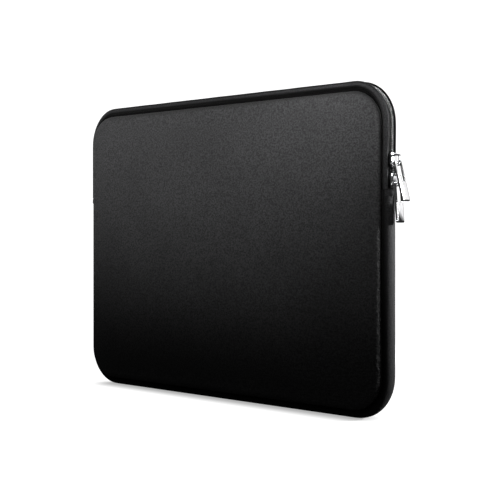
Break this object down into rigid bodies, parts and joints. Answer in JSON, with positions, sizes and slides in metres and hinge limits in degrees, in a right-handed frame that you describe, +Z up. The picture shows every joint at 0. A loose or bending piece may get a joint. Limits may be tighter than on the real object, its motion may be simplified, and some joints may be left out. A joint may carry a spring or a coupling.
{
  "type": "laptop sleeve",
  "caption": "Padded zip-round laptop sleeve standing on its long edge, two padded panels, a plain gusset, and a zip with two sliders and hanging metal pulls.",
  "frame": {"origin": "centre of the resting face, under the bottom gusset, midway through the thickness", "axes": "+X along the long bottom edge towards the end with the sliders, +Y through the thickness towards the rear panel, +Z up towards the zipped long edge"},
  "size_m": [0.3579, 0.022, 0.254],
  "materials": {
    "neoprene": "matte knit face",
    "lining": "brushed plush",
    "webbing": "woven tape",
    "nylon_coil": "semi-gloss monofilament",
    "chrome": "bright plated"
  },
  "bodies": {
    "sleeve": {"front_lining": "lining", "front_panel": "neoprene", "front_seam_binding": "webbing", "front_zip_coil_left": "nylon_coil", "front_zip_coil_right": "nylon_coil", "front_zip_strip_left": "neoprene", "front_zip_strip_right": "neoprene", "front_zip_tape_left": "webbing", "front_zip_tape_right": "webbing", "gusset": "neoprene", "gusset_lining": "lining", "rear_lining": "lining", "rear_panel": "neoprene", "rear_seam_binding": "webbing", "rear_zip_coil": "nylon_coil", "rear_zip_strip": "neoprene", "rear_zip_tape": "webbing", "zip_end_tab_left": "webbing", "zip_end_tab_right": "webbing"},
    "mouth_flap": {"front_panel_flap": "neoprene", "front_lining_flap": "lining", "front_seam_binding_flap": "webbing", "front_zip_strip": "neoprene", "front_zip_tape": "webbing", "front_zip_coil": "nylon_coil"},
    "upper_slider": {"upper_slider_body": "chrome", "upper_slider_bridge": "chrome"},
    "upper_pull": {"upper_pull": "chrome"},
    "lower_slider": {"lower_slider_body": "chrome", "lower_slider_bridge": "chrome"},
    "lower_pull": {"lower_pull": "chrome"}
  },
  "joints": [
    {"name": "mouth_open", "type": "hinge", "parent": "sleeve", "child": "mouth_flap", "pos_m": [0, -0.011, 0.2], "axis": [1, 0, 0], "range_deg": [0, 30], "stiffness_Nm_per_rad": 0.05},
    {"name": "upper_slider_travel", "type": "slide", "parent": "sleeve", "child": "upper_slider", "axis": [0, 0, -1], "range_m": [-0.022, 0]},
    {"name": "upper_pull_swing", "type": "hinge", "parent": "upper_slider", "child": "upper_pull", "pos_m": [0.1762, 0, 0.1921], "axis": [0, -1, 0], "range_deg": [0, 150]},
    {"name": "lower_slider_travel", "type": "slide", "parent": "sleeve", "child": "lower_slider", "axis": [0, 0, 1], "range_m": [0, 0.003]},
    {"name": "lower_pull_swing", "type": "hinge", "parent": "lower_slider", "child": "lower_pull", "pos_m": [0.1762, 0, 0.1771], "axis": [0, -1, 0], "range_deg": [0, 12]}
  ]
}
